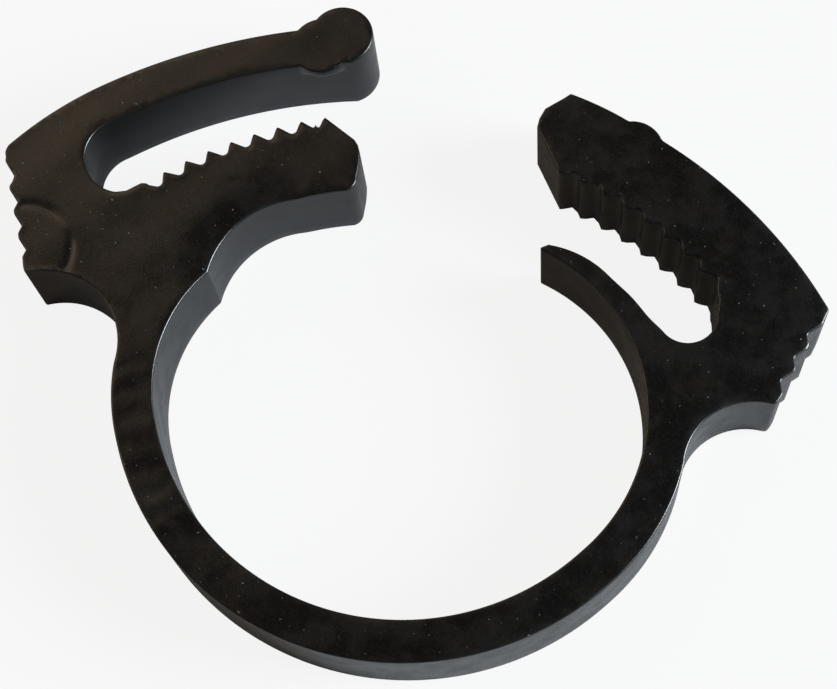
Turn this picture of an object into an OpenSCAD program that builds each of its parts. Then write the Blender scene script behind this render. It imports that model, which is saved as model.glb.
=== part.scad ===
// Double-grip ratchet clip for clamping a hose or tube, moulded in one piece, shown open.
// The clip lies on its flat side. Origin: centre of the band's round, on the underside.
// +Z goes up through the clip's width, +Y points out of the gap between the two jaws.

/* [Band] */
// Inner radius of the band's round; the jaws grow with it
bore_r = 20; // [18:0.5:23]
// Thickness of the band
band_t = 3.3; // [2.8:0.1:3.8]
// Width of the clip, from one flat side to the other
clip_w = 7.4; // [5:0.2:12]

/* [Teeth] */
// Distance from tooth to tooth
tooth_pitch = 2.0; // [1.8:0.05:2.2]
// Flat left at the top of each tooth
tooth_land = 0.14; // [0.05:0.01:0.3]
// Radius of the root between the left jaw's teeth
left_root_r = 0.4; // [0.2:0.05:0.5]
// Radius of the root between the right jaw's teeth
right_root_r = 0.25; // [0.1:0.05:0.3]

/* [Arms] */
// Thickness of the left jaw's smooth hook
hook_t = 3.4; // [3:0.1:4.2]
// Radius of the round head on the hook
head_r = 2.65; // [2.2:0.05:2.9]
// Radius of the round left by the ejector pin on each outer arm
pin_r = 2.5; // [2:0.05:2.7]
// Height of that round, down from the top side
pin_h = 1.2; // [0.4:0.1:2]

/* [Plier pads] */
// Distance from rib to rib
rib_pitch = 2.18; // [1.9:0.02:2.4]
// Depth between the ribs
rib_depth = 0.6; // [0.3:0.05:0.65]
// Radius of the scoop under the left pad
left_scoop_r = 6.3; // [5.5:0.1:7]
// Radius of the scoop under the right pad
right_scoop_r = 5.5; // [5:0.1:6]

/* [Hidden] */
$fa = 2;
$fs = 0.15;
black = [0.07, 0.068, 0.066];

// the outline is written for a band of 20 mm inner radius and grows with the band;
// wall and hook thicknesses, teeth and ribs keep their own sizes
grow = bore_r / 20;
wall = band_t / grow;
hook = hook_t / grow;
// small overlap that makes two rounds cross instead of only touching
bite = 0.03;

function u(a) = [cos(a), sin(a)];

// the band: one long round, then a tighter round up to each jaw, all three tangent
left_seam = 200;
right_seam = 328.5;
left_r = 13.2;
left_c = (20 - left_r) * u(left_seam);
right_r = 14.8;
right_c = (20 - right_r) * u(right_seam);

// left jaw: back of the hook, back of the shoulder, roof and end of the slot
back_c = [-0.35, -19.2];
back_r = 48.93;
turn = 126.6;
shoulder_r = 29.89;
shoulder_c = back_c + (back_r - shoulder_r) * u(turn);
roof_c = [-1.41, -16.41];
roof_r = 46 - hook;
left_end_r = 3.3;
left_end_a = 129.4;
left_end_c = roof_c + (roof_r - left_end_r + bite) * u(left_end_a);
head_c = [-11, 27.7];
left_pin_c = [-12.45, 26.5];

// left jaw: the toothed arm, its underside and the heel it stands on
left_tip_c = [2.48, -16.2];
left_tip_r = 38.65;
left_tip_a = 110.1;
left_row = 23.8;
left_flank = 58;
left_ramp = 43;
under_c = [-1.72, -9.18];
under_r = 23.9;
heel_c = [-9.47, 5.11];
heel_r = 7.8;
toe_r = 1.1;
toe_c = under_c + (under_r + toe_r - bite) * u(105);

// right jaw: the toothed outer arm, the slot and the tongue
arm_c = [0.35, -12.79];
arm_r = 38.99;
nose_c = [2.93, -0.59];
nose_r = 26.75;
right_tip_c = [0.58, -13.3];
right_tip_r = 32.72;
right_tip_a = 74.97;
right_row = 26.4;
right_flank = 41;
right_ramp = 37;
right_end_c = [20.9, 8.1];
right_end_r = 2.35;
tongue_c = [9.17, 3.7];
tongue_r = 8.4;
right_pin_c = [14.45, 21.45];

// plier pads: direction of the line of ribs, slopes of the ribs' two faces
left_pad_a = 113.7;
right_pad_a = -110.3;
rib_steep = 36;
rib_slow = 26;
rib_root_r = 0.3;

// the scoops run into the band's outside
left_scoop_c = left_c + (left_r + wall + left_scoop_r / grow - bite) * u(182.4);
right_scoop_c = right_c + (right_r + wall + right_scoop_r / grow - bite) * u(358.1);

// a round and a polygon of the outline, grown with the band
module disc(c, r) {
    translate(grow * c) circle(grow * r);
}

module plate(points) {
    polygon(grow * points);
}

// the part of a round about c between two angles, cut off by radial lines
module sector(c, r, a0, a1) {
    intersection() {
        disc(c, r);
        plate(concat([c], [for (i = [0 : 4]) c + 2.5 * r * u(a0 + i * (a1 - a0) / 4)]));
    }
}

// a notch with its point at the origin, opening towards +Y, rounded at the bottom;
// left and right are the slopes of its two faces
module notch(left, right, r, h) {
    half = (180 - left - right) / 2;
    l = [-cos(left), sin(left)];
    k = [cos(right), sin(right)];
    polygon([l * r / tan(half), l * h / sin(left), k * h / sin(right), k * r / tan(half)]);
    translate(r / sin(half) * u(90 + (right - left) / 2)) circle(r * 1.003);
}

// how deep the sharp notch between two teeth goes, and the angle from tooth to tooth
function notch_depth(flank, ramp) = (tooth_pitch - tooth_land) / (1 / tan(flank) + 1 / tan(ramp));
function tooth_step(r) = tooth_pitch / (grow * r) * 180 / PI;

// gaps of the left row, cut into a convex arc from the arm's end inwards
module left_gaps() {
    depth = notch_depth(left_flank, left_ramp);
    step = tooth_step(left_tip_r);
    to_point = (depth / tan(left_flank) + tooth_land / 2) / tooth_pitch;
    for (i = [0 : floor(left_row / step) - 1]) {
        a = left_tip_a + (i + to_point) * step;
        translate(grow * left_tip_c + (grow * left_tip_r - depth) * u(a)) rotate(a - 90)
            notch(left_ramp, left_flank, left_root_r, depth + 0.6);
    }
}

// gaps of the right row, cut into a concave arc from the arm's end inwards
module right_gaps() {
    depth = notch_depth(right_flank, right_ramp);
    step = tooth_step(right_tip_r);
    to_point = (depth / tan(right_ramp) + tooth_land / 2) / tooth_pitch;
    for (i = [0 : floor(right_row / step)]) {
        a = right_tip_a - (i + to_point) * step;
        translate(grow * right_tip_c + (grow * right_tip_r + depth) * u(a)) rotate(a + 90)
            notch(right_flank, right_ramp, right_root_r, depth + 0.6);
    }
}

// three gaps across a plier pad, either side of the middle of its line of ribs
module pad_gaps(mid, a, left, right) {
    for (i = [-1 : 1])
        translate(grow * mid + i * rib_pitch * u(a) - rib_depth * u(a + 90)) rotate(a)
            notch(left, right, rib_root_r, rib_depth + 0.8);
}

module left_slot() {
    line = u(left_end_a);
    side = u(left_end_a + 90);
    disc(left_end_c, left_end_r);
    difference() {
        intersection() {
            disc(roof_c, roof_r);
            plate([
                left_end_c + 6 * line, left_end_c - 4 * line,
                [-18, 5], [0, 15], [0, 35], [-20, 30]
            ]);
        }
        disc(left_tip_c, left_tip_r);
    }
}

module right_slot() {
    difference() {
        intersection() {
            disc(right_tip_c, right_tip_r);
            plate([
                [5, 30], [5, 10.5], [9.2, 8.5], [14, 9], tongue_c + tongue_r * u(50),
                [16.3, 8.93], [17.1, 8.22], [17.97, 7.37], right_end_c + right_end_r * u(223),
                right_end_c, [23.22, 8.6], [23.18, 9.7], [22.85, 11], [22.2, 12.2], [23.5, 25]
            ]);
        }
        disc(tongue_c, tongue_r);
    }
    disc(right_end_c, right_end_r);
}

// what the jaws and the band are cut from
module solid_2d() {
    sector([0, 0], 20 + wall, left_seam, right_seam);
    sector(left_c, left_r + wall + bite, 150, left_seam + 14);
    sector(right_c, right_r + wall + bite, right_seam - 15, 375);

    // hook and toothed arm
    intersection() {
        disc(back_c, back_r);
        plate([
            back_c + (back_r + 3) * u(turn), [-14, 34], [-11.2, 31], [-11.2, 22.5],
            left_tip_c + left_tip_r * u(left_tip_a), [-7.97, 18.52], [-7.6, 18.1], [-7.32, 17.5],
            [-7.13, 16.4], [-7.1, 15.1], [-8.1, 13.6], [-10, 11], [-16.3, 6.4], [-20, 7],
            back_c + (back_r - 5.9) * u(turn)
        ]);
    }
    disc(toe_c, toe_r);
    disc(head_c, head_r / grow);

    // shoulder, from the plier pad to the band
    intersection() {
        disc(shoulder_c, shoulder_r);
        plate([
            back_c + (back_r + 3) * u(turn), [-38, 18], [-36.2, 13.2], [-36.05, 11.82],
            [-35.6, 11.33], [-35.1, 11.05], [-34.95, 10.7], [-34.98, 10.1], [-35.13, 9.68],
            [-32.33, 3.55], [-32.2, 3.1], [-31.97, 2.68], [-31.7, 2.4], [-31.2, 1.9], [-29.2, -3.3],
            left_c + (left_r + 1.6) * u(182.4), left_c + (left_r - 1) * u(175), [-16.2, 7.2],
            [-22.5, 12.3], back_c + (back_r - 5.9) * u(turn)
        ]);
    }
    disc([-35.33, 12.75], 0.93);

    // outer arm, shoulder and tongue of the right jaw
    intersection() {
        union() {
            disc(arm_c, arm_r);
            disc(nose_c, nose_r);
        }
        plate([
            [9.07, 18.3], [6.5, 22.1], [6.55, 22.9], [6.87, 23.85], [8.3, 25.12], [8.66, 25.5],
            [9, 27], [20, 29], [31.3, 11.6], [31.5, 10.85], [31.65, 10.5], [31.66, 10.2],
            [31.27, 8.87], [29.05, 2.8], [28.9, 2.4], [28.55, 1.8], [28, -3.4],
            right_c + (right_r + 1.6) * u(358.1), right_c + (right_r - 1) * u(5),
            [14.5, 3], [9.2, 10.3], [8.87, 11.1], [8.6, 11.72], [9.2, 12.1], [8.3, 15]
        ]);
    }
}

module outline() {
    difference() {
        solid_2d();
        // the bore
        sector([0, 0], 20, left_seam, right_seam);
        disc(left_c, left_r + bite);
        disc(right_c, right_r + bite);
        disc(heel_c, heel_r);
        intersection() {
            disc(under_c, under_r);
            plate([[-14.3, 20], [-14.3, 0], [0, 0], [0, 20]]);
        }
        left_slot();
        right_slot();
        left_gaps();
        right_gaps();
        pad_gaps([-33.7, 6.31], left_pad_a, rib_steep, rib_slow);
        pad_gaps([30.12, 5.83], right_pad_a, rib_slow, rib_steep);
        disc(left_scoop_c, left_scoop_r / grow);
        disc(right_scoop_c, right_scoop_r / grow);
    }
    // low first tooth at the end of the left slot
    plate([[-26.3, 10.7], [-25.49, 10.93], [-24.42, 11.8], [-24, 11.86], [-23.2, 11.5], [-23.4, 10], [-26.3, 10]]);
}

// shallow rounds on the top side, left by ejector pins wider than the arms
module pin_rounds() {
    disc(left_pin_c, pin_r / grow);
    disc(right_pin_c, pin_r / grow);
}

module clip() {
    color(black) {
        linear_extrude(clip_w) outline();
        translate([0, 0, clip_w - pin_h]) linear_extrude(pin_h) pin_rounds();
    }
}

clip();
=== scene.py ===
# %% [markdown]
# # A moulded clip for a hose
# The real thing is a single piece of black nylon, about 68 mm across and 7 mm thick: a springy band
# with a toothed jaw at each end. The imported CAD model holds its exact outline, with sharp edges. What
# it lacks is what a mould and some handling leave behind: rounded rims, shallow sinks, ejector marks,
# a little flash, dust. So this script reads the outline from the CAD solid, builds a finer shell
# around it in mesh code, and gives that shell a nylon material. All lengths below are in metres unless
# a name ends in `_mm`.

# %% load the CAD frame
import bmesh
import bpy
import math
import numpy as np
from mathutils import Matrix, Vector
from mathutils.geometry import delaunay_2d_cdt


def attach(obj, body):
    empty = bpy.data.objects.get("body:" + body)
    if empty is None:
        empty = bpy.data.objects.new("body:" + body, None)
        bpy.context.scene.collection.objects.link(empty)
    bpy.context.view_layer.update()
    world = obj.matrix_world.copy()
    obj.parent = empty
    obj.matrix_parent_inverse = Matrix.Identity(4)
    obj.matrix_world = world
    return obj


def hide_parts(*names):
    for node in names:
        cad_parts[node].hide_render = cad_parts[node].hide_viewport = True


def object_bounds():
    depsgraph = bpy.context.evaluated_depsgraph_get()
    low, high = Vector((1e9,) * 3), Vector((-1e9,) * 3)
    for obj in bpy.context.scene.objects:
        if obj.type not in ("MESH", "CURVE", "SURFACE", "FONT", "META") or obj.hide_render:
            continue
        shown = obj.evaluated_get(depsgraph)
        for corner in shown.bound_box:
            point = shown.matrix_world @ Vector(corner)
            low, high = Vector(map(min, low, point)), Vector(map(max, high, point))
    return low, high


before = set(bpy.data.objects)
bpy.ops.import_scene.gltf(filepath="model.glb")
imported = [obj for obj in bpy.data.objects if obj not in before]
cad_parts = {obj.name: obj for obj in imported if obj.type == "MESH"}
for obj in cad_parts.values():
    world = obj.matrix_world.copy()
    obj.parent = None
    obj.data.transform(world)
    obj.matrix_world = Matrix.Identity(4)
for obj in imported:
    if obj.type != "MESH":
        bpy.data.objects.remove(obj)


def plain(bounds):
    return [[float(v) for v in corner] for corner in bounds]


cad_box = plain(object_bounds())
MM = 0.001
width_mm = (cad_box[1][2] - cad_box[0][2]) / MM
print("CAD box", cad_box, "width", round(width_mm, 2), "mm")

# %% [markdown]
# ## The camera first
# Everything is judged through the lens, so it comes before any piece. The photograph was taken from
# above and slightly to the right, at close range: the nearer side of each wall shows. A long lens
# (86 mm on a 36 mm sensor) at about 165 mm keeps the same mild perspective. Instead of typing a
# rotation matrix, the camera aims at a point on the part and is then rolled about its own axis.

# %% camera
camera_data = bpy.data.cameras.new("photo_lens")
camera_data.lens = 86.02
camera_data.sensor_width = 36.0
camera_data.clip_start = 0.005
camera = bpy.data.objects.new("photo_camera", camera_data)
bpy.context.scene.collection.objects.link(camera)
camera.location = Vector((19.42, -47.80, 155.05)) * MM
aim = Vector((0.64, 1.98, 7.4)) * MM
roll = math.radians(-10.07)
look = (aim - camera.location).to_track_quat("-Z", "Y").to_matrix().to_4x4()
camera.matrix_world = Matrix.Translation(camera.location) @ look @ Matrix.Rotation(roll, 4, "Z")
bpy.context.scene.camera = camera
print("camera", round((aim - camera.location).length / MM, 1), "mm from the part")

# %% [markdown]
# ## Reading the outline from the CAD solid
# The clip is a plate with one outline all the way through. The solid's underside is flat, so the edges
# between its bottom faces and its walls are that outline. Chaining them end to end gives one closed
# loop of points. Tracing it by hand would be another way, but then the shell and the solid could drift
# apart; read from the solid, they can't.

# %% helper: bottom loop of a solid
def bottom_loop(node):
    mesh = bmesh.new()
    mesh.from_mesh(node.data)
    bmesh.ops.remove_doubles(mesh, verts=mesh.verts, dist=1e-7)
    low = min(v.co.z for v in mesh.verts)
    flat = {f for f in mesh.faces if all(abs(v.co.z - low) < 2e-6 for v in f.verts)}
    follow = {}
    for face in flat:
        for corner in face.loops:
            edge = corner.edge
            if sum(f in flat for f in edge.link_faces) == 1:
                a, b = corner.vert, corner.link_loop_next.vert
                follow[a.index] = b.index
    where = {v.index: (v.co.x / MM, v.co.y / MM) for v in mesh.verts}
    first = next(iter(follow))
    loop, at = [first], follow[first]
    while at != first:
        loop.append(at)
        at = follow[at]
    assert len(loop) == len(follow), "the underside has more than one edge loop"
    mesh.free()
    points = np.array([where[i] for i in loop])
    x, y = points.T
    area = 0.5 * np.sum(x * np.roll(y, -1) - np.roll(x, -1) * y)
    return points if area > 0 else points[::-1]


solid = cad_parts["clip"]
coarse = bottom_loop(solid)
print("outline from the solid:", len(coarse), "points")

# %% [markdown]
# ## Smoothing the outline
# The loop is made of short straight pieces, and its corners are sharp. A mould is cut with a round
# tool, so every corner of the real clip has a radius of at least 0.1 to 0.2 mm. Each corner is
# replaced by a short curve that starts and ends on its two sides (a quadratic curve with the corner
# as its control point). On the long arcs this turns the flats into one smooth line, and on the
# tooth tips it gives the small radius that catches the light.

# %% helper: round every corner of a loop
def rounded(points, radius, spacing=0.34, fine=11.0):
    out = []
    count = len(points)
    before = points - np.roll(points, 1, axis=0)
    after = np.roll(points, -1, axis=0) - points
    length_b = np.hypot(*before.T)
    length_a = np.hypot(*after.T)
    turn = np.arccos(np.clip((before * after).sum(1) / (length_b * length_a), -1, 1))
    reach = np.where(turn < math.radians(14), 1e9, radius * np.tan(turn / 2))
    reach = np.minimum(reach, 0.5 * np.minimum(length_a, length_b))
    for i in range(count):
        p = points[i]
        start = p - before[i] / length_b[i] * reach[i]
        end = p + after[i] / length_a[i] * reach[i]
        steps = max(2, math.ceil(math.degrees(turn[i]) / fine), math.ceil(2 * reach[i] / spacing))
        for k in range(steps + 1):
            t = k / steps
            out.append((1 - t) ** 2 * start + 2 * t * (1 - t) * p + t * t * end)
        j = (i + 1) % count
        gap_end = points[j] - before[j] / length_b[j] * reach[j]
        gap = np.hypot(*(gap_end - end))
        for k in range(1, math.ceil(gap / spacing)):
            out.append(end + (gap_end - end) * k / math.ceil(gap / spacing))
    out = np.array(out)
    keep = np.hypot(*(out - np.roll(out, 1, axis=0)).T) > 0.02
    return out[keep]


# the ribs of the plier pads are worn rounder than the teeth
on_pads = (coarse[:, 0] < -31.6) | (coarse[:, 0] > 28.6)
outline = rounded(coarse, np.where(on_pads, 0.55, 0.2))
perimeter_mm = np.hypot(*(outline - np.roll(outline, 1, axis=0)).T).sum()
print("smoothed outline:", len(outline), "points,", round(perimeter_mm), "mm round")

# %% [markdown]
# ## What the mould leaves on the rims
# Three small things change the outline near the top side only. The two ejector pins were wider than
# the arms they pushed on, so each left a shallow round lug that overhangs the wall. A nib of flash
# stands in the last gap of the left jaw's teeth. And along the right slot the rim is ragged with thin
# flash. Each is a sideways push of the outline's points that fades out with depth, so the wall stays
# one continuous skin.

# %% pushes at the rim
def smooth(t):
    t = np.clip(t, 0, 1)
    return t * t * (3 - 2 * t)


def outward_normals(points):
    along = np.roll(points, -1, axis=0) - np.roll(points, 1, axis=0)
    along /= np.hypot(*along.T)[:, None]
    return np.c_[along[:, 1], -along[:, 0]]


normals = outward_normals(outline)
PIN_MM = 2.5
pins = [np.array([-12.45, 26.5]), np.array([14.45, 21.45])]
lug = np.zeros_like(outline)
for pin in pins:
    arm = outline - pin
    far = np.hypot(*arm.T)
    inside = (far < PIN_MM) & (far > 0.3)
    lug[inside] += (arm * (PIN_MM / np.maximum(far, 0.3) - 1)[:, None])[inside]

rng = np.random.default_rng(7)
nib_at = outline[np.argmin(np.hypot(*(outline - [-11.33, 18.98]).T))]
nib_away = np.hypot(*(outline - nib_at).T)
flash = normals * (0.42 * np.exp(-(nib_away / 0.17) ** 2))[:, None]
for spot in [(22.9, 10.3), (23.15, 9.3), (23.2, 8.4), (22.4, 11.9), (21.7, 12.6), (20.3, 13.2), (18.9, 14.6)]:
    near = np.hypot(*(outline - spot).T)
    size = rng.uniform(0.05, 0.12)
    flash += normals * (size * np.exp(-(near / rng.uniform(0.12, 0.25)) ** 2))[:, None]


def outline_at(z):
    lug_share = smooth((z - (width_mm - 1.75)) / 0.95)
    flash_share = smooth((z - (width_mm - 0.9)) / 0.6)
    return outline + lug * lug_share + flash * flash_share


lug_mm, flash_mm = (round(np.hypot(*push.T).max(), 2) for push in (lug, flash))
print("lugs stand out up to", lug_mm, "mm; flash", flash_mm, "mm")

# %% [markdown]
# ## The two flat sides
# A flat side isn't quite flat. Its rim is rounded, and the thick parts of the moulding sank a little as
# they cooled. Both can be told from how far a point is from the outline: within 0.15 mm of it the
# surface follows a quarter circle down to the wall, and further in the sinks are added. So the side is
# a triangulated sheet: points on the outline, a few rows just inside it, and a grid of points further
# in, all joined by Blender's constrained Delaunay triangulation. A bevel modifier was the other way,
# but it stops at the 0.14 mm flats on the tooth tips.

# %% helper: distance to a closed loop, and points inside it
def distance_to_loop(points, loop):
    a, b = loop, np.roll(loop, -1, axis=0)
    side = b - a
    length2 = (side ** 2).sum(1)
    best = np.full(len(points), 1e9)
    for k in range(0, len(points), 2000):
        part = points[k:k + 2000, None, :] - a[None]
        t = np.clip((part * side).sum(2) / length2, 0, 1)
        gap = part - t[..., None] * side
        best[k:k + 2000] = np.sqrt((gap ** 2).sum(2)).min(1)
    return best


def inside_loop(points, loop):
    a, b = loop, np.roll(loop, -1, axis=0)
    odd = np.zeros(len(points), bool)
    for k in range(0, len(points), 2000):
        px, py = points[k:k + 2000, 0, None], points[k:k + 2000, 1, None]
        crosses = (a[:, 1] > py) != (b[:, 1] > py)
        rise = np.where(b[:, 1] == a[:, 1], 1, b[:, 1] - a[:, 1])
        at = a[:, 0] + (py - a[:, 1]) * (b[:, 0] - a[:, 0]) / rise
        odd[k:k + 2000] = (crosses & (px < at)).sum(1) % 2 == 1
    return odd


def hex_grid(low, high, step):
    rows = np.arange(low[1], high[1], step * 0.866)
    return np.array([(x + (i % 2) * step / 2, y) for i, y in enumerate(rows)
                     for x in np.arange(low[0], high[0], step)])


# %% sinks, ejector mark and ripples of the top side
MARK_MM = (-32.6, 4.4, 4.0)


def roll_off(points):
    """Height in mm by which the face falls away towards the heel and underside of the left jaw."""
    px, py = points.T
    reach = 3.4
    heel = 1 - (np.hypot(px + 9.47, py - 5.11) - 7.8) / reach
    heel = np.clip(heel, 0, 1) ** 2 * smooth((-9.5 - px) / 3) * smooth((py - 1) / 4)
    under = 1 - (np.hypot(px + 1.72, py + 9.18) - 23.9) / (0.7 * reach)
    under = np.clip(under, 0, 1) ** 2 * smooth((px + 16) / 3) * smooth((-8 - px) / 3)
    return -np.maximum(0.3 * heel, 0.13 * under)


def relief(points):
    """Height in mm to add to the flat top, for points in mm."""
    px, py = points.T
    h = np.zeros(len(points))
    # ring left by an ejector pin on the left shoulder: a narrow groove round a slightly sunk face
    r = np.hypot(px - MARK_MM[0], py - MARK_MM[1])
    around = np.arctan2(py - MARK_MM[1], px - MARK_MM[0])
    pressed = 0.12 + 0.88 * np.maximum(smooth(1.4 - abs(around - 1.5) / 0.6), smooth(1.4 - abs(around) / 0.5))
    h -= 0.03 * smooth((MARK_MM[2] - r) / 0.6) + 0.1 * pressed * np.exp(-((r - MARK_MM[2]) / 0.34) ** 2)
    # broad unevenness of the whole face
    h += 0.02 * np.sin(0.31 * px + 1.0) * np.cos(0.27 * py) + 0.012 * np.sin(0.9 * px - 0.6 * py)
    # drag ripples across the left of the band
    zone = smooth((-13.5 - px) / 2) * smooth((py + 19.5) / 3) * smooth((-1.5 - py) / 3)
    across = 0.55 * px - 0.84 * py
    h += zone * 0.016 * np.sin(3.1 * across + 1.3 * np.sin(0.8 * px))
    # small dimples
    for cx, cy, size, deep in [(21.2, 17.3, 0.35, 0.05), (-29.4, 15.6, 0.35, 0.04), (-16.9, 13.2, 0.3, 0.03)]:
        h -= deep * np.exp(-(((px - cx) ** 2 + (py - cy) ** 2) / size ** 2))
    return h


# %% helper: one flat side
RIM_MM = 0.15


def flat_side(loop, rim, detailed):
    """Points (x, y, drop below the face) and triangles of a side whose outline is loop."""
    inward = -outward_normals(loop)
    slopes = np.radians([22, 45, 68, 90])
    rows = [loop + inward * (rim * (1 - math.cos(t))) for t in slopes]
    near = np.concatenate(rows)
    wanted = np.repeat([rim * (1 - math.cos(t)) for t in slopes], len(loop))
    real = distance_to_loop(near, loop)
    near = near[(real > wanted * 0.93) & inside_loop(near, loop)]
    low, high = loop.min(0), loop.max(0)
    grid = hex_grid(low, high, 0.62)
    if detailed:
        fine = hex_grid(low, high, 0.3)
        fx, fy = fine.T
        soft = (fx < -13) & (fy < 16)
        gx, gy = grid.T
        grid = np.concatenate([grid[~((gx < -13) & (gy < 16))], fine[soft]])
        turns = np.linspace(0, 2 * math.pi, 150, endpoint=False)
        ring = [(MARK_MM[0] + r * math.cos(t), MARK_MM[1] + r * math.sin(t))
                for r in MARK_MM[2] + np.linspace(-0.6, 0.6, 9) for t in turns]
        grid = np.concatenate([grid, ring])
    grid = grid[inside_loop(grid, loop)]
    grid = grid[distance_to_loop(grid, loop) > rim * 1.5]
    points = np.concatenate([loop, near, grid])
    count = len(loop)
    edges = [(i, (i + 1) % count) for i in range(count)]
    done = delaunay_2d_cdt([Vector(p) for p in points], edges, [list(range(count))], 1, 1e-6)
    xy = np.array([tuple(v) for v in done[0]])
    gap = distance_to_loop(xy, loop)
    gap[np.array([bool(src) and min(src) < count for src in done[3]])] = 0
    fall = np.where(gap < rim, rim - np.sqrt(np.maximum(rim ** 2 - (rim - gap) ** 2, 0)), 0)
    rim_ring = [min(src) if src and min(src) < count else -1 for src in done[3]]
    return xy, fall, gap, done[2], rim_ring


top_loop = outline_at(width_mm)
top = flat_side(top_loop, RIM_MM, True)
bottom = flat_side(outline, RIM_MM, False)
print("top side:", len(top[0]), "points,", len(top[3]), "triangles; underside:", len(bottom[3]), "triangles")

# %% [markdown]
# ## One skin
# The wall is a stack of copies of the outline between the two rims, joined by four-sided faces. It is
# sewn to the two sides along the outline's own points, so the shell is closed and has no seam. How
# close each point lies to the rim is stored with the mesh as the attribute `rim`: the material uses
# it to paint a faint highlight along the rims, where the rounded edges catch the light.

# %% build the moulding
def build_moulding():
    levels = [RIM_MM + (width_mm - 2.0 - RIM_MM) * k / 5 for k in range(6)]
    levels += [width_mm - 2.0 + (2.0 - RIM_MM) * k / 9 for k in range(1, 10)]
    count = len(outline)
    verts, faces, rim = [], [], []
    edge_fall = roll_off(outline)
    for z in levels:
        # the wall's last level is the edge of the top side, and falls away with it
        lower = edge_fall * smooth((z - (width_mm - 2.0)) / (2.0 - RIM_MM))
        shape = outline_at(z if z < levels[-1] - 1e-6 else width_mm)
        verts += [(px, py, z + dz) for (px, py), dz in zip(shape, lower)]
        to_edge = min(z, width_mm - z)
        rim += [1.0 - smooth((to_edge - 0.2) / 0.35)] * count
    for k in range(len(levels) - 1):
        for i in range(count):
            j = (i + 1) % count
            faces.append((k * count + i, k * count + j, (k + 1) * count + j, (k + 1) * count + i))

    def sew(side, ring_start, height, flip):
        xy, fall, gap, tris, ring = side
        lift = relief(xy) * smooth(gap / 0.5) + roll_off(xy) if height > 1 else np.zeros(len(xy))
        index = []
        for n, (p, f, g, on) in enumerate(zip(xy, fall, gap, ring)):
            if on >= 0:
                index.append(ring_start + on)
                continue
            z = height - f + lift[n] if height > 1 else f
            index.append(len(verts))
            verts.append((p[0], p[1], z))
            rim.append(float(1.0 - smooth((g - 0.1) / 0.4)))
        for tri in tris:
            tri = [index[v] for v in tri]
            if len(set(tri)) == len(tri):
                faces.append(tri[::-1] if flip else tri)

    sew(top, (len(levels) - 1) * count, width_mm, False)
    sew(bottom, 0, 0.0, True)
    mesh = bpy.data.meshes.new("clip_moulding")
    metres = [(vx * MM, vy * MM, vz * MM) for vx, vy, vz in verts]
    mesh.from_pydata(metres, [], [list(map(int, f)) for f in faces])
    mesh.validate()
    mesh.attributes.new("rim", "FLOAT", "POINT").data.foreach_set("value", [float(r) for r in rim])
    mesh.shade_smooth()
    piece = bpy.data.objects.new("clip_moulding", mesh)
    bpy.context.scene.collection.objects.link(piece)
    return piece


moulding = build_moulding()
check = bmesh.new()
check.from_mesh(moulding.data)
open_edges = sum(1 for e in check.edges if len(e.link_faces) != 2)
loose = sum(1 for v in check.verts if not v.link_faces)
triangles = sum(len(p.vertices) - 2 for p in moulding.data.polygons)
volume_mm3 = round(check.calc_volume() / MM ** 3, 1)
print("moulding:", len(moulding.data.vertices), "points,", triangles, "triangles; open edges", open_edges,
      "loose", loose, "volume", volume_mm3, "mm3")
check.free()
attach(moulding, "root")
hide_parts("clip")

# %% [markdown]
# ## Node groups for the marks on the plastic
# Black nylon shows itself by its surface, not by its colour. Three effects do the work: a fine grain
# from the mould, pale dust, and faint streaks, which also place a painted sheen. Each is a shader node
# group with named sockets, built once, so that a material only states how much of it there is. Image
# textures would need a photograph of the surface; noise in object space gives the same marks at their real
# size in metres.

# %% helper: a node group with sockets
def group(name, inputs, outputs):
    tree = bpy.data.node_groups.new(name, "ShaderNodeTree")
    for label, value in inputs:
        socket = tree.interface.new_socket(label, in_out="INPUT", socket_type="NodeSocketFloat")
        socket.default_value = value
    for label in outputs:
        tree.interface.new_socket(label, in_out="OUTPUT", socket_type="NodeSocketFloat")
    return tree, tree.nodes.new("NodeGroupInput"), tree.nodes.new("NodeGroupOutput")


def add(tree, kind, **settings):
    node = tree.nodes.new(kind)
    for key, value in settings.items():
        if key in node.inputs:
            node.inputs[key].default_value = value
        else:
            setattr(node, key, value)
    return node


def math_node(tree, operation, a, b=0.5, c=None, clamp=False):
    node = tree.nodes.new("ShaderNodeMath")
    node.operation, node.use_clamp = operation, clamp
    for slot, value in zip(node.inputs, (a, b, c)):
        if value is None:
            continue
        if isinstance(value, (int, float)):
            slot.default_value = value
        else:
            tree.links.new(value, slot)
    return node.outputs[0]


def ramp(tree, value, low, high, to_low=0.0, to_high=1.0):
    node = tree.nodes.new("ShaderNodeMapRange")
    node.interpolation_type = "SMOOTHSTEP"
    tree.links.new(value, node.inputs["Value"])
    for label, number in (("From Min", low), ("From Max", high), ("To Min", to_low), ("To Max", to_high)):
        node.inputs[label].default_value = number
    return node.outputs["Result"]


# %% mould grain
def make_grain():
    tree, ins, outs = group("mould_grain", [("Scale", 5000.0)], ["Height", "Blotch"])
    place = add(tree, "ShaderNodeTexCoord").outputs["Object"]
    fine = add(tree, "ShaderNodeTexNoise", Detail=3.0, Roughness=0.6)
    tree.links.new(place, fine.inputs["Vector"])
    tree.links.new(ins.outputs["Scale"], fine.inputs["Scale"])
    broad = add(tree, "ShaderNodeTexNoise", Detail=4.0, Roughness=0.55)
    tree.links.new(place, broad.inputs["Vector"])
    tree.links.new(math_node(tree, "MULTIPLY", ins.outputs["Scale"], 0.09), broad.inputs["Scale"])
    tree.links.new(fine.outputs["Fac"], outs.inputs["Height"])
    tree.links.new(ramp(tree, broad.outputs["Fac"], 0.32, 0.68), outs.inputs["Blotch"])
    return tree


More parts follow.
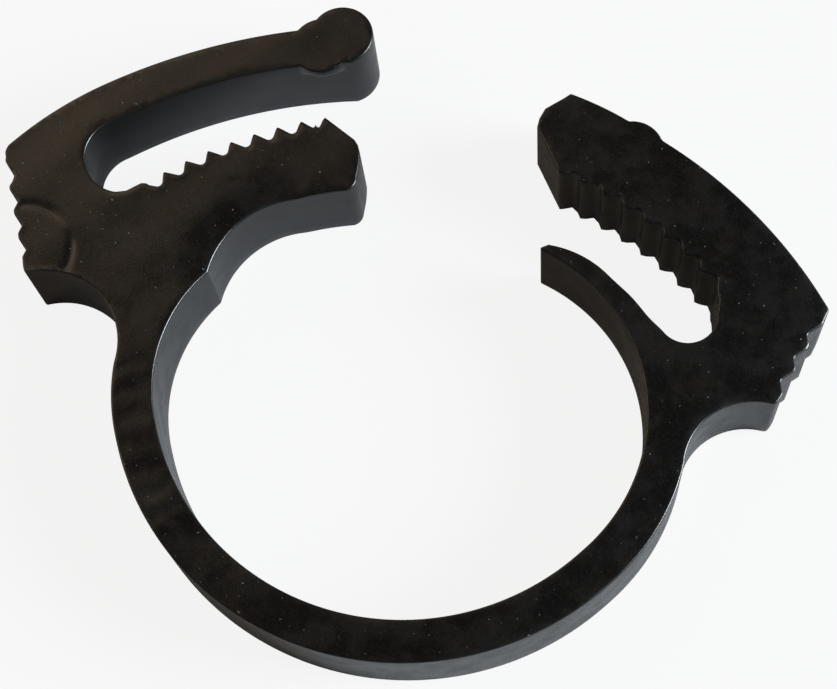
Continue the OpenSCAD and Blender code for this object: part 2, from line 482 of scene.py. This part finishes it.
# %% dust
def make_dust():
    tree, ins, outs = group("dust_specks", [("Cells", 700.0), ("Size", 0.1), ("Share", 0.3)], ["Mask"])
    place = add(tree, "ShaderNodeTexCoord").outputs["Object"]
    bend = add(tree, "ShaderNodeTexNoise", Scale=2200.0, Detail=1.0)
    tree.links.new(place, bend.inputs["Vector"])
    shift = add(tree, "ShaderNodeVectorMath", operation="SCALE")
    tree.links.new(bend.outputs["Color"], shift.inputs[0])
    shift.inputs["Scale"].default_value = 0.00035
    moved = add(tree, "ShaderNodeVectorMath", operation="ADD")
    tree.links.new(place, moved.inputs[0])
    tree.links.new(shift.outputs["Vector"], moved.inputs[1])
    cells = add(tree, "ShaderNodeTexVoronoi", voronoi_dimensions="2D")
    tree.links.new(moved.outputs["Vector"], cells.inputs["Vector"])
    tree.links.new(ins.outputs["Cells"], cells.inputs["Scale"])
    split = add(tree, "ShaderNodeSeparateColor")
    tree.links.new(cells.outputs["Color"], split.inputs["Color"])
    growth = math_node(tree, "ADD", split.outputs["Green"], 0.3)
    size = math_node(tree, "MULTIPLY", ins.outputs["Size"], growth)
    dot = math_node(tree, "LESS_THAN", cells.outputs["Distance"], size)
    kept = math_node(tree, "LESS_THAN", split.outputs["Red"], ins.outputs["Share"])
    tree.links.new(math_node(tree, "MULTIPLY", math_node(tree, "MULTIPLY", dot, kept), split.outputs["Blue"]),
                   outs.inputs["Mask"])
    return tree


# %% streaks: a mask for the ripples, also used for a painted sheen
def make_streaks():
    tree, ins, outs = group("streak_mask_and_sheen", [("Scale", 300.0), ("Angle", 0.58)], ["Mask"])
    place = add(tree, "ShaderNodeTexCoord").outputs["Object"]
    turn = add(tree, "ShaderNodeVectorRotate", rotation_type="Z_AXIS")
    tree.links.new(place, turn.inputs["Vector"])
    tree.links.new(ins.outputs["Angle"], turn.inputs["Angle"])
    stretch = add(tree, "ShaderNodeVectorMath", operation="MULTIPLY")
    tree.links.new(turn.outputs["Vector"], stretch.inputs[0])
    stretch.inputs[1].default_value = (0.16, 1.0, 1.0)
    lines = add(tree, "ShaderNodeTexNoise", Detail=5.0, Roughness=0.62)
    tree.links.new(stretch.outputs["Vector"], lines.inputs["Vector"])
    tree.links.new(ins.outputs["Scale"], lines.inputs["Scale"])
    tree.links.new(ramp(tree, lines.outputs["Fac"], 0.5, 0.72), outs.inputs["Mask"])
    return tree


groups = {"grain": make_grain(), "dust": make_dust(), "streaks": make_streaks()}
print("node groups:", ", ".join(g.name for g in groups.values()))

# %% [markdown]
# ## Black nylon
# Nylon filled with carbon black is nearly as dark as it gets, with a slightly warm cast, and has a
# satin gloss: the mould was ground and blasted, not polished. What reads as grey on the walls is the
# pale table mirrored at a low angle. The Principled shader does that by itself from its index of
# refraction (1.53), so the base colour stays almost black. Roughness changes gently over the surface
# and dust lies on the top. Two paler marks are painted light: a faint painted highlight along the rims,
# and streaks across the top, strongest on the left of the band, a painted sheen on the ripples there.

# %% nylon material
def nylon_material():
    material = bpy.data.materials.new("black_nylon")
    material.use_nodes = True
    tree = material.node_tree
    shader = tree.nodes["Principled BSDF"]
    shader.inputs["IOR"].default_value = 1.53
    grain = add(tree, "ShaderNodeGroup", node_tree=groups["grain"])
    grain.inputs["Scale"].default_value = 5200.0
    dust = add(tree, "ShaderNodeGroup", node_tree=groups["dust"])
    for label, value in (("Cells", 900.0), ("Size", 0.045), ("Share", 0.5)):
        dust.inputs[label].default_value = value
    streaks = add(tree, "ShaderNodeGroup", node_tree=groups["streaks"])
    # nearness to the rim; it places the painted highlight along the rounded edges
    rim = add(tree, "ShaderNodeAttribute", attribute_name="rim").outputs["Fac"]
    normal = add(tree, "ShaderNodeSeparateXYZ")
    tree.links.new(add(tree, "ShaderNodeNewGeometry").outputs["Normal"], normal.inputs["Vector"])
    facing_up = ramp(tree, normal.outputs["Z"], 0.6, 0.95)
    dust_here = math_node(tree, "MULTIPLY", dust.outputs["Mask"], facing_up)

    def mix(factor, a, b):
        node = add(tree, "ShaderNodeMix", data_type="RGBA")
        tree.links.new(factor, node.inputs["Factor"])
        for slot, colour in ((node.inputs[6], a), (node.inputs[7], b)):
            if isinstance(colour, tuple):
                slot.default_value = (*colour, 1)
            else:
                tree.links.new(colour, slot)
        return node.outputs[2]

    place = add(tree, "ShaderNodeSeparateXYZ")
    tree.links.new(add(tree, "ShaderNodeTexCoord").outputs["Object"], place.inputs["Vector"])
    band = math_node(tree, "MULTIPLY", ramp(tree, place.outputs["X"], -0.006, -0.016),
                     ramp(tree, place.outputs["Y"], 0.006, 0.0))
    # streak mask on up-facing sides, strongest on the left of the band: it lowers roughness, adds bump and
    # places a painted sheen
    streaks_and_sheen = math_node(tree, "MULTIPLY", math_node(tree, "MULTIPLY", streaks.outputs["Mask"], facing_up),
                     math_node(tree, "ADD", math_node(tree, "MULTIPLY", band, 0.85), 0.15))
    base = mix(grain.outputs["Blotch"], (0.0008, 0.0007, 0.0007), (0.0022, 0.0019, 0.0018))
    base = mix(math_node(tree, "MULTIPLY", ramp(tree, grain.outputs["Height"], 0.46, 0.66), 0.34), base,
               (0.0100, 0.0092, 0.0084))
    # painted sheen: the streaks are painted paler, standing in for the light the ripples catch
    base = mix(math_node(tree, "MULTIPLY", streaks_and_sheen, 0.6), base, (0.026, 0.024, 0.021))
    # painted highlight: the rims are painted a little paler, standing in for the light their rounding catches
    base = mix(math_node(tree, "MULTIPLY", rim, 0.06), base, (0.03, 0.028, 0.025))
    base = mix(math_node(tree, "MULTIPLY", dust_here, 0.28), base, (0.28, 0.27, 0.26))
    tree.links.new(base, shader.inputs["Base Color"])

    rough = ramp(tree, grain.outputs["Blotch"], 0.0, 1.0, 0.29, 0.36)
    rough = math_node(tree, "SUBTRACT", rough, math_node(tree, "MULTIPLY", streaks_and_sheen, 0.04))
    rough = math_node(tree, "ADD", rough, math_node(tree, "MULTIPLY", dust_here, 0.3), clamp=True)
    tree.links.new(rough, shader.inputs["Roughness"])

    bump = add(tree, "ShaderNodeBump", Strength=0.25, Distance=0.00003)
    height = math_node(tree, "ADD", grain.outputs["Height"],
                       math_node(tree, "MULTIPLY", streaks_and_sheen, 0.5))
    height = math_node(tree, "ADD", height, math_node(tree, "MULTIPLY", dust_here, 1.5))
    tree.links.new(height, bump.inputs["Height"])
    tree.links.new(bump.outputs["Normal"], shader.inputs["Normal"])
    return material


nylon = nylon_material()
moulding.data.materials.append(nylon)
solid.data.materials.clear()
solid.data.materials.append(nylon)
print("material:", nylon.name, "with", len(nylon.node_tree.nodes), "nodes")

# %% [markdown]
# ## Floor, light and background
# The photograph has no setting at all, just white. A white floor gives that, and it also gives the
# walls something to mirror. Seen by the camera the floor is mostly plain white light, with part of
# its real shading left in, so the soft shadow of the clip stays. A window stood low to the right: one
# large, slightly cool area lamp there makes the right-hand walls pale and leaves the left-hand ones
# dark, because they mirror the floor that lies in the clip's own shadow. A small warm lamp above, to
# the back left, is mirrored by the left jaw's flat side and puts the brown cast on it, and a weak warm
# one from the left fills the shadows. The world is pale at the horizon and dark overhead, as a room is.

# %% floor
def make_floor():
    mesh = bpy.data.meshes.new("floor")
    mesh.from_pydata([(-2, -2, 0), (2, -2, 0), (2, 2, 0), (-2, 2, 0)], [], [(0, 1, 2, 3)])
    floor = bpy.data.objects.new("floor", mesh)
    bpy.context.scene.collection.objects.link(floor)
    floor.location.z = -0.00005
    material = bpy.data.materials.new("white_table")
    material.use_nodes = True
    tree = material.node_tree
    matt = tree.nodes["Principled BSDF"]
    matt.inputs["Base Color"].default_value = (0.44, 0.44, 0.445, 1)
    matt.inputs["Roughness"].default_value = 0.9
    glow = add(tree, "ShaderNodeEmission", Strength=1.0)
    rays = add(tree, "ShaderNodeLightPath")
    seen = math_node(tree, "MULTIPLY", rays.outputs["Is Camera Ray"], 0.88)
    mirrored = math_node(tree, "MAXIMUM", rays.outputs["Is Glossy Ray"], rays.outputs["Is Transmission Ray"])
    share = math_node(tree, "MAXIMUM", seen, math_node(tree, "MULTIPLY", mirrored, 0.03))
    blend = add(tree, "ShaderNodeMixShader")
    tree.links.new(share, blend.inputs["Fac"])
    tree.links.new(matt.outputs[0], blend.inputs[1])
    tree.links.new(glow.outputs[0], blend.inputs[2])
    tree.links.new(blend.outputs[0], tree.nodes["Material Output"].inputs["Surface"])
    floor.data.materials.append(material)
    return floor


floor = make_floor()

# %% lamps and world
def area_lamp(name, place, target, size, power, colour):
    data = bpy.data.lights.new(name, "AREA")
    data.shape, data.size, data.size_y = "RECTANGLE", size[0], size[1]
    data.energy, data.color = power, colour
    lamp = bpy.data.objects.new(name, data)
    bpy.context.scene.collection.objects.link(lamp)
    lamp.location = place
    lamp.rotation_euler = (Vector(target) - Vector(place)).to_track_quat("-Z", "Y").to_euler()
    return lamp


area_lamp("window", (0.71, 0.11, 0.35), (0, 0, 0), (0.34, 0.34), 16.0, (0.86, 0.94, 1.0))
area_lamp("ceiling", (-0.34, 0.42, 0.60), (-0.01, 0.01, 0), (0.28, 0.28), 0.5, (1.0, 0.74, 0.50))
area_lamp("room", (-0.62, 0.10, 0.45), (0, 0, 0), (0.5, 0.5), 1.4, (1.0, 0.78, 0.54))
world = bpy.data.worlds.new("studio")
bpy.context.scene.world = world
world.use_nodes = True
tree = world.node_tree
sky = tree.nodes["Background"]
height = add(tree, "ShaderNodeSeparateXYZ")
tree.links.new(add(tree, "ShaderNodeTexCoord").outputs["Generated"], height.inputs["Vector"])
gray = ramp(tree, height.outputs["Z"], 0.05, 0.45, 0.5, 0.02)
seen = add(tree, "ShaderNodeLightPath").outputs["Is Camera Ray"]
tree.links.new(math_node(tree, "MAXIMUM", gray, seen), sky.inputs["Strength"])
sky.inputs["Color"].default_value = (0.98, 0.99, 1.0, 1)
bpy.context.scene.view_settings.view_transform = "Standard"
